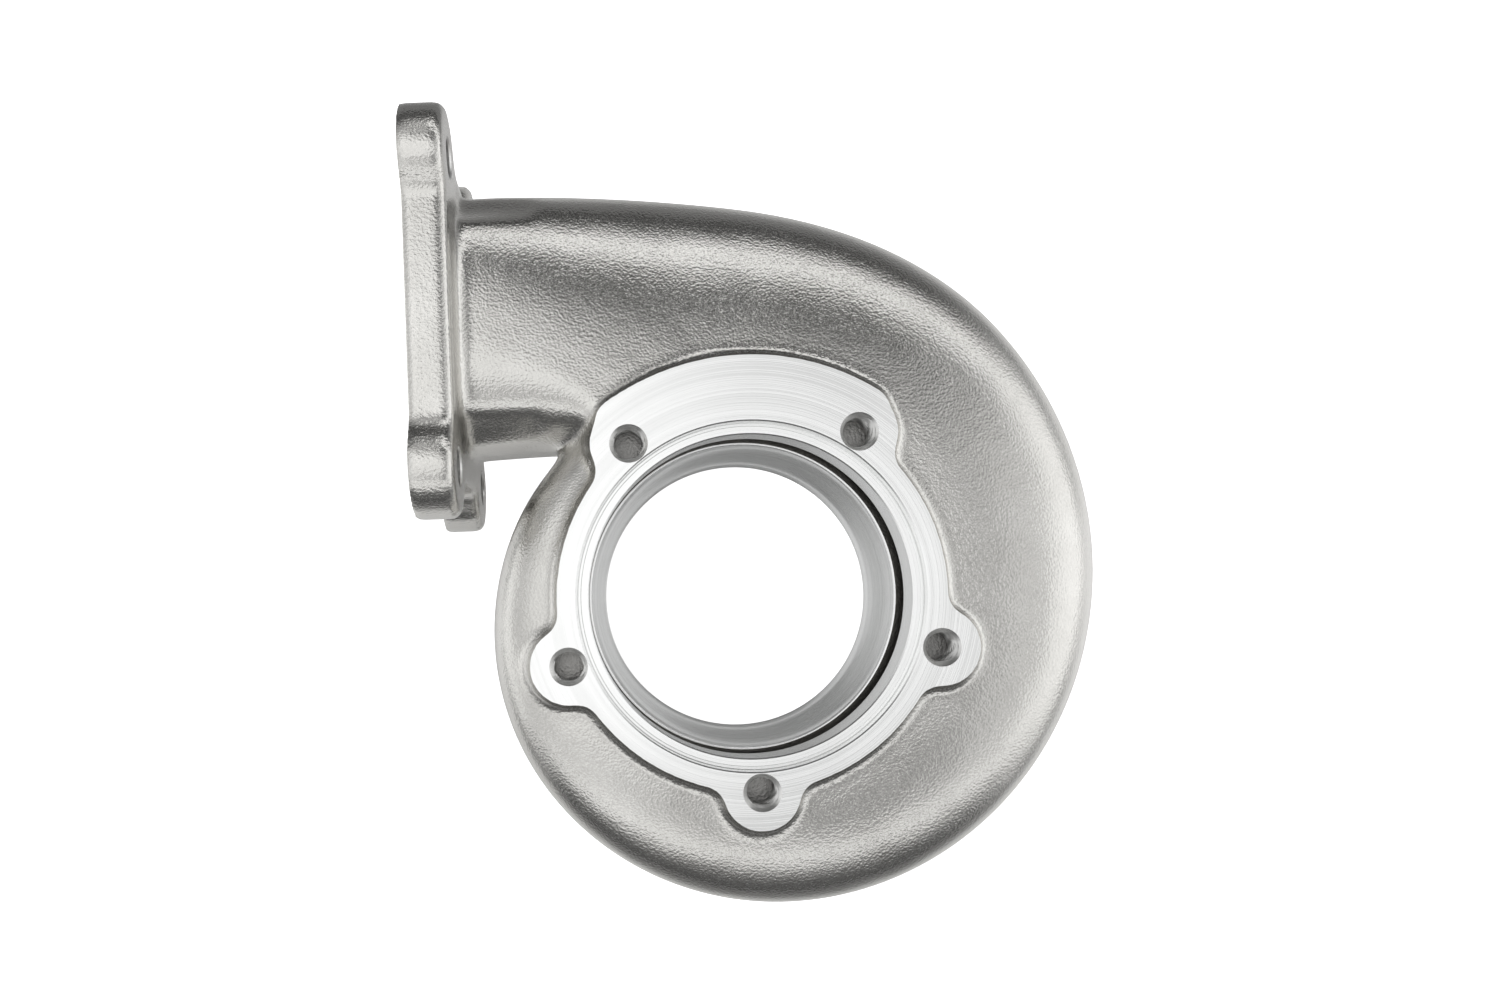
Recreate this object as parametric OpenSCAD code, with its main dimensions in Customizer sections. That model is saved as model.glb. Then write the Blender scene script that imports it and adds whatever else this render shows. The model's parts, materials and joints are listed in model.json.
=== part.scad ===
// Turbine housing of a turbocharger: one steel casting with a spiral gas passage.
// The outlet ring stands on z = 0 and the bore runs up the Z axis to the machined face
// that the bearing housing bolts to. The inlet flange faces -X.

/* [Machined face] */
// Height of the machined face above the outlet face
face_z = 82; // [80:0.5:88]
// Radius of the shallow step that locates the bearing housing
step_r = 51.2; // [50:0.1:51.8]
// Depth of the locating step
step_depth = 2.5; // [1.5:0.5:4]
// Radius of the pilot bore
pilot_r = 47.6; // [47.2:0.1:49]
// Depth of the pilot bore, from the face to the nozzle gap
pilot_depth = 12.4; // [11.5:0.1:13.5]
// Radius of the round pad between the bolt lobes
pad_r = 57.1; // [56:0.1:59]
// Radius of the wide sector of the pad, on the inlet side
sector_r = 70.6; // [69.5:0.1:73]
// Radius of the round corners at the ends of that sector
sector_end_r = 7.8; // [7:0.1:8.5]
// Height of the pad above the cast wall around it
pad_h = 3.6; // [2.5:0.1:5]
// Outward lean of the pad's cast side, in degrees
pad_draft = 12; // [5:1:20]

/* [Face bolts] */
// Number of threaded holes in the face
bolt_count = 5; // [4:1:6]
// Radius of the bolt circle
bolt_circle_r = 57.3; // [57:0.1:58.5]
// Angle of the first threaded hole, in degrees
bolt_clock = 55; // [50:1:60]
// Radius of a threaded hole at its thread crests
bolt_hole_r = 4.25; // [3.4:0.05:4.4]
// Depth of a threaded hole
bolt_hole_depth = 9.5; // [7:0.5:10]
// Depth and width of the chamfer at the mouth of a threaded hole
bolt_chamfer = 1.4; // [0.5:0.05:1.5]
// Radius of the lobe around a threaded hole
lobe_r = 11.4; // [10:0.1:12]
// Radius of the hollow fillet beside a lobe
lobe_fillet = 7; // [6:0.5:9]

/* [Bore] */
// Width of the nozzle gap
nozzle_w = 8.2; // [6:0.1:9.5]
// Radius of the shroud's lip at the nozzle gap
lip_r = 46.7; // [46:0.1:47.1]
// Rounding of the shroud's lip
lip_round = 0.8; // [0.5:0.1:2]
// Radius of the bore at its throat
throat_r = 42.1; // [41:0.1:43]
// Height of the throat above the outlet face
throat_z = 47.5; // [45:0.5:50]
// Length of the straight throat below that height
throat_len = 5; // [3:0.5:8]
// Radius of the bore where it leaves the outlet
outlet_r = 53.5; // [50:0.5:54.5]

/* [Outlet ring] */
// Outer radius of the outlet ring
ring_r = 63; // [61.5:0.5:66]
// Thickness of the ring at its rim
ring_rim = 3; // [2.5:0.5:4]
// Slope of the ring's clamping side, in degrees
ring_slope = 20; // [15:1:25]
// Outer radius of the neck above the ring
neck_r = 58; // [57:0.5:59]
// Outer radius of the waist between the ring and the scroll
waist_r = 52.5; // [52:0.5:54]
// Height of the waist above the outlet face
waist_z = 24; // [20:0.5:28]

/* [Scroll] */
// Outer radius of the scroll at 135 degrees, beside the tongue
scroll_r_135 = 69.5; // [68:0.5:71.5]
// Outer radius at 180 degrees
scroll_r_180 = 76.5; // [74:0.5:78]
// Outer radius at 225 degrees
scroll_r_225 = 85.5; // [83.5:0.5:87.5]
// Outer radius at 270 degrees
scroll_r_270 = 94.5; // [92.5:0.5:96.5]
// Outer radius at 315 degrees
scroll_r_315 = 102.5; // [100.5:0.5:104.5]
// Outer radius at 0 degrees
scroll_r_0 = 109.5; // [107.5:0.5:111.5]
// Outer radius at 45 degrees
scroll_r_45 = 115.5; // [113.5:0.5:117.5]
// Outer radius at 90 degrees, where the inlet duct begins
scroll_r_90 = 122; // [120:0.5:124]
// Half thickness of the scroll at its tongue
scroll_half_start = 12; // [11:0.5:13.5]
// Half thickness of the scroll where the inlet duct begins
scroll_half_end = 24; // [22:0.5:26]
// Wall of the casting
wall = 5; // [4:0.25:5.5]
// Inner radius of the gas passage
passage_r = 54; // [53:0.5:55]
// Radius out to which the face side stays solid for the bolts
bolt_land_r = 66; // [65:0.5:68]

/* [Inlet flange] */
// Distance of the inlet face from the bore axis
inlet_x = 96; // [92:0.5:104]
// Distance of the inlet's centre line from the bore axis
inlet_y = 84.6; // [83:0.1:87]
// Height of the inlet's centre line above the outlet face
inlet_z = 54; // [52:0.5:56]
// Thickness of the flange
flange_t = 12.7; // [10:0.1:14]
// Stud spacing along the long side
stud_long = 88.9; // [86:0.1:92]
// Stud spacing along the short side
stud_short = 63.5; // [61:0.1:66]
// Radius of a stud hole
stud_hole_r = 5.5; // [4.5:0.1:6]
// Chamfer at both mouths of a stud hole
stud_chamfer = 0.6; // [0.3:0.1:1]
// Radius of the ear around a stud hole
ear_r = 15; // [14:0.1:16]
// Depth of the hollow between the ears along the long sides
hollow_long = 5; // [3:0.5:6]
// Depth of the hollow between the ears along the short sides
hollow_short = 12; // [9:0.5:13]
// Radius of the fillet beside an ear
ear_fillet = 8; // [6:0.5:10]
// Rounding of the flange's inner edge
flange_round = 2.4; // [1.5:0.1:3]
// Rounding of the edge around the inlet face
flange_edge = 1; // [0.5:0.1:1.5]
// Long side of the inlet port
port_long = 70; // [66:0.5:71]
// Short side of the inlet port
port_short = 49; // [46:0.5:50]
// Long side of the duct outside, at the flange
duct_long = 79; // [78:0.5:81]
// Short side of the duct outside, at the flange
duct_short = 60; // [58:0.5:61]
// Outward bow of the duct's outer side, halfway along
duct_bow = 3.2; // [0:0.1:4]
// Inward set of the duct's inner side, halfway along
duct_tuck = 1.6; // [0:0.1:2]
// Radius of the hollow that clears a spanner beside a stud
clearance_r = 16.5; // [15:0.5:17]
// Length of that hollow
clearance_len = 26; // [20:0.5:30]
// Rounding at the end of that hollow
clearance_round = 6; // [3:0.5:8]

/* [Hidden] */
$fn = 96;
// Small overlap that carries a cut past a face
past = 1;
// Radius inside the bore where the scroll's sections close
core_r = 35;
// How far the web behind the tongue lies inside the surfaces that it joins
web_inset = 1.5;
// Step between the roof of the nozzle gap and the passage's roof over the bolts' land
roof_step = 0.4;
// Radius from which the scroll's side rolls over to its rim
roll_r = 46;
// Powers of the scroll's rounded section, across and through
scroll_power = [3, 2];
// Powers of the rounded rectangle at the flange
flange_power = [4.5, 4.5];
// Powers of the inlet port
port_power = [3.6, 3.6];
// Angles where the scroll's solid and its passage begin, and the angle where the duct takes over
solid_start = -218;
passage_start = -224;
scroll_end = 90;
// Angle between the scroll's named radii, and the angle of the first of them
station_step = 45;
station_first = -225;
scroll_radii = [scroll_r_135, scroll_r_180, scroll_r_225, scroll_r_270,
    scroll_r_315, scroll_r_0, scroll_r_45, scroll_r_90];
// Turn between two rings of the scroll, steps along the duct and round half a section
ring_turn = 7;
duct_steps = 10;
half_steps = 12;
// Steps along the arcs of the pad, the flange and the bore
fillet_steps = 5;
lobe_steps = 6;
sector_steps = 14;
side_steps = 4;
ear_steps = 12;
edge_steps = 3;
shroud_steps = 8;
corner_steps = 4;
// Angle left between a lobe's fillet and the arc beside it
arc_gap = 3;
// Angle by which the wide sector ends short of its two holes, and the turn of its corners
sector_inset = 1.7;
sector_turn = 36;
// Part of the duct's length over which its inner side leaves the bore
inner_run = 0.55;
web_z = face_z - pad_h;
nozzle_top = face_z - pilot_depth;
nozzle_bottom = nozzle_top - nozzle_w;
flange_back = -inlet_x + flange_t;
casting_colour = [0.66, 0.65, 0.62];

function mix(a, b, t) = a + (b - a) * t;
function ease(t) = t * t * (3 - 2 * t);
function arc(centre, r, from, to, steps) =
    [for (i = [0:steps]) centre + r * [cos(mix(from, to, i / steps)), sin(mix(from, to, i / steps))]];
function arc_start(centre, r, from, to, steps) =
    [for (i = [0:steps - 1]) centre + r * [cos(mix(from, to, i / steps)), sin(mix(from, to, i / steps))]];
function mean(points) = [for (k = [0:len(points[0]) - 1]) sum(points, k) / len(points)];
function sum(points, k, i = 0) = i == len(points) ? 0 : points[i][k] + sum(points, k, i + 1);

// Smooth curve through evenly spaced values, carried on straight past both ends.
function value_at(v, i) =
    i < 0 ? 2 * v[0] - v[1] : i >= len(v) ? 2 * v[len(v) - 1] - v[len(v) - 2] : v[i];
function curve(v, t) =
    let (i = max(0, min(len(v) - 2, floor(t))), f = t - i,
        a = value_at(v, i - 1), b = value_at(v, i), c = value_at(v, i + 1), d = value_at(v, i + 2))
    b + (c - a) * f / 2 + (2 * a - 5 * b + 4 * c - d) * f * f / 2 + (3 * b - a - 3 * c + d) * f * f * f / 2;

function scroll_r(angle) = curve(scroll_radii, (angle - station_first) / station_step);
function scroll_half(angle) =
    mix(scroll_half_start, scroll_half_end, (angle - station_first) / (scroll_end - station_first));

// Half of a rounded section, from its base line over its rim at `rim` and back to the base line.
function half_section(base, rim, mid, half, power) =
    [for (i = [0:half_steps])
        let (a = 180 * i / half_steps, side = cos(a) < 0 ? -1 : 1)
        [base + (rim - base) * pow(sin(a), 2 / power[0]),
            mid + side * half * pow(abs(cos(a)), 2 / power[1])]];

// Section of the scroll's solid at an angle: distance from the axis and height.
function solid_section(angle) =
    let (half = scroll_half(angle), mid = web_z - half)
    concat(half_section(roll_r, scroll_r(angle), mid, half, scroll_power),
        [for (i = [1:half_steps - 1]) [core_r, mid - half * cos(180 * i / half_steps)]]);

// Section of the gas passage at an angle. On the face side it stops short at the bolts' land.
function passage_section(angle) =
    let (half = scroll_half(angle), mid = web_z - half, rim = scroll_r(angle) - wall,
        points = half_section(roll_r, rim, mid, half - wall, scroll_power),
        land = min(bolt_land_r, rim - wall),
        floor_z = points[half_steps][1],
        roof_z = nozzle_top - roof_step)
    concat([for (i = [0:half_steps])
            [max(points[i][0], i < half_steps / 2 ? land : passage_r), points[i][1]]],
        [for (i = [1:half_steps - 2]) [passage_r, mix(floor_z, roof_z, i / (half_steps - 2))]],
        [[land, roof_z]]);

// Whole rounded rectangle at the flange, in the same order of points as the sections above.
function rectangle_section(long, short, power) =
    concat(half_section(inlet_y, inlet_y + long / 2, inlet_z, short / 2, power),
        [for (i = [1:half_steps - 1]) half_section(inlet_y, inlet_y - long / 2, inlet_z, short / 2, power)
            [half_steps - i]]);

// Outline of the machined pad, grown by `grow`: a disc with a lobe at each threaded hole, and a
// wide sector between the first two holes.
function fillet_turn(r_in) =
    let (a = r_in + lobe_fillet, b = lobe_r + lobe_fillet)
    acos((a * a + bolt_circle_r * bolt_circle_r - b * b) / (2 * a * bolt_circle_r));
function lobe_lean(r_in) =
    let (a = r_in + lobe_fillet, t = fillet_turn(r_in))
    atan2(a * sin(t), a * cos(t) - bolt_circle_r);
function lobe_outline(k, grow) =
    let (angle = bolt_clock + 360 / bolt_count * k, next = angle + 360 / bolt_count,
        turn = fillet_turn(pad_r), lean = lobe_lean(pad_r), reach = pad_r + lobe_fillet,
        centre = bolt_circle_r * [cos(angle), sin(angle)],
        before = reach * [cos(angle - turn), sin(angle - turn)],
        after = reach * [cos(angle + turn), sin(angle + turn)],
        side = k == 0 ? 1 : -1,
        end_angle = angle + side * sector_inset,
        end_centre = (sector_r - sector_end_r) * [cos(end_angle), sin(end_angle)],
        first = k == 1 ? angle + sector_turn : angle - lean,
        last = k == 0 ? angle - sector_turn : angle + lean)
    concat(
        k == 1 ? arc_start(end_centre, sector_end_r + grow, end_angle, first, corner_steps) :
            arc_start(before, lobe_fillet - grow, angle - turn + 180, angle - lean + 180, fillet_steps),
        arc_start(centre, lobe_r + grow, first, last, k < 2 ? lobe_steps : 2 * lobe_steps),
        k == 0 ? concat(arc_start(end_centre, sector_end_r + grow, last, end_angle, corner_steps),
            arc_start([0, 0], sector_r + grow, end_angle, next - sector_inset, sector_steps)) :
            concat(arc(after, lobe_fillet - grow, angle + lean + 180, angle + turn + 180, fillet_steps),
                arc([0, 0], pad_r + grow, angle + turn + arc_gap, next - turn - arc_gap, side_steps)));
function pad_outline(grow) = [for (k = [0:bolt_count - 1]) each lobe_outline(k, grow)];

// Outline of the flange, grown by `grow`: four ears joined by hollowed sides.
function ear_off(hollow) = ear_r - hollow + ear_fillet;
function ear_run(hollow) = sqrt(pow(ear_r + ear_fillet, 2) - pow(ear_off(hollow), 2));
function ear_lean(hollow) = atan2(ear_off(hollow), ear_run(hollow));
function ear_outline(grow) =
    let (y = stud_long / 2, z = stud_short / 2,
        lean_s = ear_lean(hollow_short), lean_l = ear_lean(hollow_long))
    concat(
        arc_start([y + ear_off(hollow_short), z - ear_run(hollow_short)], ear_fillet - grow,
            180, 90 + lean_s, side_steps),
        arc_start([y, z], ear_r + grow, lean_s - 90, 180 - lean_l, ear_steps),
        arc([y - ear_run(hollow_long), z + ear_off(hollow_long)], ear_fillet - grow, -lean_l, -90,
            side_steps));
function flange_outline(grow) =
    let (ear = ear_outline(grow), n = len(ear) - 1)
    concat(ear, [for (i = [0:n]) [-ear[n - i][0], ear[n - i][1]]], [for (p = ear) -p],
        [for (i = [0:n]) [ear[n - i][0], -ear[n - i][1]]]);

// Closed solid through a list of rings that have the same number of points.
module loft(rings) {
    n = len(rings[0]);
    last = len(rings) - 1;
    points = concat([for (ring = rings) each ring], [mean(rings[0]), mean(rings[last])]);
    sides = [for (i = [0:last - 1], j = [0:n - 1])
        let (k = (j + 1) % n)
        each [[i * n + j, (i + 1) * n + k, i * n + k], [i * n + j, (i + 1) * n + j, (i + 1) * n + k]]];
    start = [for (j = [0:n - 1]) [j, (j + 1) % n, len(points) - 2]];
    finish = [for (j = [0:n - 1]) [last * n + (j + 1) % n, last * n + j, len(points) - 1]];
    polyhedron(points, concat(sides, start, finish));
}

function turned(section, angle) = [for (p = section) [p[0] * cos(angle), p[0] * sin(angle), p[1]]];
function placed(section, x) = [for (p = section) [x, p[0], p[1]]];

// Rings of a sweep: round the scroll from its start, then along the duct to the section at the flange.
function scroll_rings(start, hollow) =
    let (steps = ceil((scroll_end - start) / ring_turn))
    [for (i = [0:steps]) let (angle = mix(start, scroll_end, i / steps))
        turned(hollow ? passage_section(angle) : solid_section(angle), angle)];
// Moves a section's outer side outwards and its inner side inwards, most at the edge and not at all at
// the centre line.
function bowed(section, bow, tuck) =
    let (outer = section[half_steps / 2][0] - inlet_y,
        inner = inlet_y - section[len(section) - half_steps / 2][0])
    [for (p = section)
        [p[0] + bow * max(0, p[0] - inlet_y) / outer + tuck * max(0, inlet_y - p[0]) / inner, p[1]]];
// Section between two others. Its inner side can be further on than the rest of it.
function blended(from, to, part, inner_part) =
    [for (i = [0:len(from) - 1])
        [mix(from[i][0], to[i][0], i > half_steps ? inner_part : part), mix(from[i][1], to[i][1], part)]];
function duct_rings(from, to, end_x, run, tuck) =
    [for (i = [1:duct_steps]) let (t = i / duct_steps, swell = 4 * t * (1 - t))
        placed(bowed(blended(from, to, ease(t), ease(min(1, t / run))), duct_bow * swell, tuck * swell),
            end_x * t)];

module volute_solid() {
    to = rectangle_section(duct_long, duct_short, flange_power);
    difference() {
        loft(concat(scroll_rings(solid_start, false),
            duct_rings(solid_section(scroll_end), to, flange_back - flange_t / 2, inner_run, duct_tuck)));
        for (y = [-1, 1], z = [-1, 1])
            translate([flange_back - past, inlet_y + y * stud_long / 2, inlet_z + z * stud_short / 2])
                spanner_clearance();
    }
}

module volute_passage() {
    to = rectangle_section(port_long, port_short, port_power);
    loft(concat(scroll_rings(passage_start, true),
        duct_rings(passage_section(scroll_end), to, -inlet_x, 1, 0),
        [placed(to, -inlet_x - past)]));
}

// Web behind the tongue that joins the scroll's start to the duct and the shroud.
module tongue_web() {
    angle = 360 + solid_start;
    tip = scroll_r(solid_start) - web_inset;
    half = scroll_half(solid_start) - web_inset;
    translate([0, 0, web_z - scroll_half(solid_start) - half])
        linear_extrude(2 * half)
            polygon([[-past, core_r], core_r * [cos(angle + ring_turn), sin(angle + ring_turn)],
                tip * [cos(angle + ring_turn), sin(angle + ring_turn)],
                tip * [cos(angle), sin(angle)],
                [tip * cos(angle), inlet_y - duct_long / 2 + wall],
                [-past, inlet_y - duct_long / 2 + wall]]);
}

module pad() {
    drop = web_z - wall + past;
    loft([placed_flat(pad_outline((face_z - drop) * tan(pad_draft)), drop),
        placed_flat(pad_outline(0), face_z)]);
}
function placed_flat(outline, z) = [for (p = outline) [p[0], p[1], z]];

module flange() {
    loft(concat(
        [for (i = [0:edge_steps]) let (a = 90 * i / edge_steps)
            flange_ring(-flange_edge * (1 - sin(a)), -inlet_x + flange_edge * (1 - cos(a)))],
        [for (i = [0:edge_steps]) let (a = 90 * i / edge_steps)
            flange_ring(-flange_round * (1 - cos(a)), flange_back - flange_round * (1 - sin(a)))]));
}
function flange_ring(grow, x) =
    [for (p = flange_outline(grow)) [x, inlet_y + p[0], inlet_z + p[1]]];

// Shroud wall and outlet neck, turned about the bore axis.
module shroud_solid() {
    rise = (ring_r - neck_r) * tan(ring_slope);
    rotate_extrude()
        polygon([[0, 0], [ring_r, 0], [ring_r, ring_rim], [neck_r, ring_rim + rise],
            [waist_r, waist_z], [waist_r, web_z - wall / 2], [0, web_z - wall / 2]]);
}

// Everything that is turned out of the middle, from the step down to the outlet.
module bore_cut() {
    flare_z = throat_z - throat_len;
    rotate_extrude()
        polygon(concat(
            [[0, face_z + past], [step_r, face_z + past], [step_r, face_z - step_depth],
                [pilot_r, face_z - step_depth],
                [pilot_r, nozzle_top], [passage_r + past, nozzle_top],
                [passage_r + past, nozzle_bottom]],
            arc([lip_r + lip_round, nozzle_bottom - lip_round], lip_round, 90, 180, side_steps),
            [for (i = [1:shroud_steps]) let (t = i / shroud_steps)
                [mix(lip_r, throat_r, ease(t)), mix(nozzle_bottom - lip_round, throat_z, t)]],
            [[throat_r, flare_z], [outlet_r, 0], [outlet_r, -past], [0, -past]]));
}

module bolt_hole() {
    translate([0, 0, face_z - bolt_hole_depth])
        cylinder(h = bolt_hole_depth + past, r = bolt_hole_r);
    translate([0, 0, face_z - bolt_chamfer])
        cylinder(h = bolt_chamfer + past, r1 = bolt_hole_r, r2 = bolt_hole_r + bolt_chamfer + past);
}

module stud_hole() {
    mouth = stud_hole_r + stud_chamfer;
    rotate([0, 90, 0]) {
        translate([0, 0, -past])
            cylinder(h = flange_t + 2 * past, r = stud_hole_r);
        translate([0, 0, -past])
            cylinder(h = stud_chamfer + past, r1 = mouth + past, r2 = stud_hole_r);
        translate([0, 0, flange_t - stud_chamfer])
            cylinder(h = stud_chamfer + past, r1 = stud_hole_r, r2 = mouth + past);
    }
}

// Hollow beside a stud hole: a round-ended cut that leaves room for the nut and the spanner.
module spanner_clearance() {
    reach = clearance_len + past;
    rotate([0, 90, 0])
        rotate_extrude() {
            square([clearance_r, reach - clearance_round]);
            square([clearance_r - clearance_round, reach]);
            translate([clearance_r - clearance_round, reach - clearance_round])
                circle(clearance_round);
        }
}

module turbine_housing() {
    color(casting_colour)
        difference() {
            union() {
                volute_solid();
                shroud_solid();
                tongue_web();
                pad();
                flange();
            }
            volute_passage();
            bore_cut();
            for (k = [0:bolt_count - 1])
                rotate([0, 0, bolt_clock + 360 / bolt_count * k])
                    translate([bolt_circle_r, 0, 0])
                        bolt_hole();
            for (y = [-1, 1], z = [-1, 1])
                translate([-inlet_x, inlet_y + y * stud_long / 2, inlet_z + z * stud_short / 2])
                    stud_hole();
        }
}

turbine_housing();
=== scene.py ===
# %% [markdown]
# # Turbine housing of a turbocharger
# The real object is one steel casting. Molten steel fills a ceramic shell, the shell is blasted off with
# glass beads, and a lathe then turns the faces that other parts bolt to. This lesson follows the same
# order: first the frame that fixes every size, then the raw casting, then the machining, then the finish.

# %% Load the frame
import json
import math
import bpy
import numpy as np
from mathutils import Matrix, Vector


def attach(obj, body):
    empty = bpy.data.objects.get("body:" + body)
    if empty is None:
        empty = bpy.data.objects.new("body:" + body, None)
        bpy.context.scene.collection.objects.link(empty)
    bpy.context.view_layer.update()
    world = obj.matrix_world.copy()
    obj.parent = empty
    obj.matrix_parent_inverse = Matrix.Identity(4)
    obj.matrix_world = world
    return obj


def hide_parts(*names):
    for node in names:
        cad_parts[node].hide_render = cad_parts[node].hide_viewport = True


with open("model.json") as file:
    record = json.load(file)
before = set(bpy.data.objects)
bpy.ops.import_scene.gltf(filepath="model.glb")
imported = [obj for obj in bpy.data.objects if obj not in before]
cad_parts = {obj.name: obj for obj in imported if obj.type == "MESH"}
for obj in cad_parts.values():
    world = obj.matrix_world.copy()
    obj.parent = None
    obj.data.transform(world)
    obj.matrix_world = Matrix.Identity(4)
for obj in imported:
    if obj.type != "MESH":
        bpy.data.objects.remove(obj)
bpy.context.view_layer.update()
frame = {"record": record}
MM = 0.001

# %% [markdown]
# ## Sizes
# The mounts in the record hold the sizes that other parts depend on, so they are read from there. Most of
# the rest repeat the driving sizes of the part's source. A few follow the photograph a little more closely:
# some of the scroll's radii, the duct's bow and the lean of the pad's sides. All of them are in millimetres
# and degrees, because that is how a drawing of such a housing is dimensioned. Meshes turn them into metres
# at the very end.

# %% Sizes from the record
mounts = {mount["name"]: mount for mount in frame["record"]["mounts"]}
face_z = mounts["bearing_face"]["pos_m"][2] / MM
pilot_r = mounts["pilot_bore"]["dims"]["r_mm"]
throat_r = mounts["throat"]["dims"]["r_mm"]
bolt_circle_r = mounts["bearing_face_bolts"]["dims"]["pcd_mm"] / 2
bolt_hole_r = mounts["bearing_face_bolts"]["dims"]["hole_r_mm"]
bolt_count = mounts["bearing_face_bolts"]["dims"]["count"]
inlet_x, inlet_y, inlet_z = (v / MM for v in mounts["inlet_face"]["pos_m"])
stud_long = mounts["inlet_studs"]["dims"]["spacing_x_mm"]
stud_short = mounts["inlet_studs"]["dims"]["spacing_y_mm"]
stud_hole_r = mounts["inlet_studs"]["dims"]["hole_r_mm"]
print("face", face_z, "pilot", pilot_r, "bolts", bolt_count, "on", bolt_circle_r)
print("inlet", inlet_x, inlet_y, inlet_z, "studs", stud_long, "x", stud_short)

# %% Sizes of the casting
# Steps of the bore under the face
step_r = 51.2
step_depth = 2.5
pilot_depth = 12.4
# Pad that the face is turned on: a disc with a lobe at each hole, and a wide sector between two of them
pad_r = 57.1
sector_r = 70.6
sector_end_r = 7.8
sector_inset = 1.7
sector_turn = 36.0
pad_h = 3.6
pad_draft = 12.0
bolt_clock = 55.0
bolt_depth = 9.5
lobe_r = 11.4
lobe_fillet = 7.0
# Nozzle gap, the lip below it, and the throat
nozzle_w = 8.2
lip_r = 46.7
lip_round = 0.8
throat_z = 47.5
throat_len = 5.0
# Outlet, its ring, and the neck between the ring and the scroll
outlet_r = 53.5
ring_r = 63.0
ring_rim = 3.0
ring_slope = 20.0
neck_r = 58.0
waist_r = 52.5
waist_z = 24.0
# Scroll: its outer radius every 45 degrees, how much it opens in one more step on its way into the duct,
# half its height at the tongue and at the duct, and the radii where its section and the duct's begin
scroll_radii = np.array([69.5, 76.5, 85.5, 94.5, 102.5, 109.4, 116.1, 122.2])
lead_out = 14.3
scroll_half = (12.0, 24.0)
scroll_first, scroll_step, scroll_end = -225.0, 45.0, 90.0
roll_r = 46.0
core_r = 35.0
# Wall of the casting and the passage inside it
wall = 5.0
passage_r = 54.0
gap_r = passage_r + 1
bolt_land_r = 66.0
# Inlet flange with its ears and hollowed sides, the port in it, and the duct behind it. The duct's rim bows
# out, its inner side is tucked in, and it is soft all round over the first part of its run
flange_t = 12.7
ear_r = 15.0
hollow_long = 5.0
hollow_short = 12.0
ear_fillet = 8.0
port_long, port_short = 70.0, 49.0
duct_long, duct_short = 79.0, 60.0
duct_bow = 8.0
duct_tuck = 1.6
inner_run = 0.55
# Room for a spanner behind each stud hole
clearance_r = 16.5
clearance_len = 26.0
# Heights and places worked out from the sizes above
web_z = face_z - pad_h
flange_back = inlet_x + flange_t
nozzle_top = face_z - pilot_depth
nozzle_bottom = nozzle_top - nozzle_w
print("web", web_z, "flange back", flange_back, "nozzle gap from", nozzle_bottom, "to", nozzle_top)

# %% [markdown]
# ## The raw casting as a field
# A casting has no sharp inside corners: every form grows into the next with a fillet, because molten metal
# and ceramic slurry round them off. Separate grids could make each form, but not the fillets between them.
# So each form is written as a field, a number at every point of space that is negative in the metal and
# positive outside, about as large as the distance to its surface. Fields can be joined softly, and the
# surface is then read off where the joined field is zero.

# %% Join and cut fields softly
deep_inside, far_outside = -12.0, 60.0


def soft_union(a, b, reach):
    """Smaller of two fields, less h^2 reach / 4, where h falls from 1 where they are equal to 0 where they
    differ by `reach`. The reach is about as long as the fillet's leg."""
    h = np.maximum(reach - np.abs(a - b), 0) / np.maximum(reach, 1e-6)
    return np.minimum(a, b) - h * h * reach / 4


def soft_cut(a, b, reach):
    """Field a without what field b fills, with a rounded edge: the larger of a and minus b."""
    return -soft_union(-a, b, reach)


def soft_union_of_forms(a, b, reach):
    """Soft union that leaves flush surfaces flush: the reach shrinks to nothing where both fields rise
    in the same direction, which is one minus the cosine of the angle between their gradients."""
    grad_a, grad_b = np.gradient(a), np.gradient(b)
    dot = sum(p * q for p, q in zip(grad_a, grad_b))
    size = np.sqrt(sum(p * p for p in grad_a) * sum(q * q for q in grad_b)) + 1e-6
    return soft_union(a, b, reach * np.clip(1 - dot / size, 0, 1))


def section_field(across, through, power_across, power_through, rim, half):
    """Rounded section: (across / rim) ^ p + (through / half) ^ q - 1, divided by the length of its own
    gradient, which makes it a distance in mm close to the surface."""
    a = np.maximum(across, 0) / rim
    b = np.abs(through) / half
    value = a ** power_across + b ** power_through - 1
    slope_a = power_across * a ** (power_across - 1) / rim
    slope_b = power_through * b ** (power_through - 1) / half
    return np.clip(value / np.sqrt(slope_a ** 2 + slope_b ** 2 + 1e-5), deep_inside, far_outside)


def ease(t):
    """Smooth step from 0 to 1 with no slope at either end: 3 t^2 - 2 t^3."""
    t = np.clip(t, 0, 1)
    return t * t * (3 - 2 * t)


def mix(a, b, t):
    """Value on the way from a to b: a + (b - a) t."""
    return a + (b - a) * t


print("two fields that are both zero, joined with a reach of 4:", soft_union(0.0, 0.0, 4.0))


# %% [markdown]
# ## Scroll and inlet duct
# The gas passage winds round the wheel and shrinks as it feeds gas inwards. At any angle its section is
# flat on the sides and round at the rim, so a superellipse describes it with two powers. The outer radius
# follows a smooth curve through one value every 45 degrees. The duct carries the widest section on to the
# flange and squares it up on the way. Sections swept along a path would do for either of them alone, but
# they cross in the notch between duct and tail, and as fields they can still be joined there.

# %% Scroll field
rim_power, side_power = 3.0, 2.0


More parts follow.
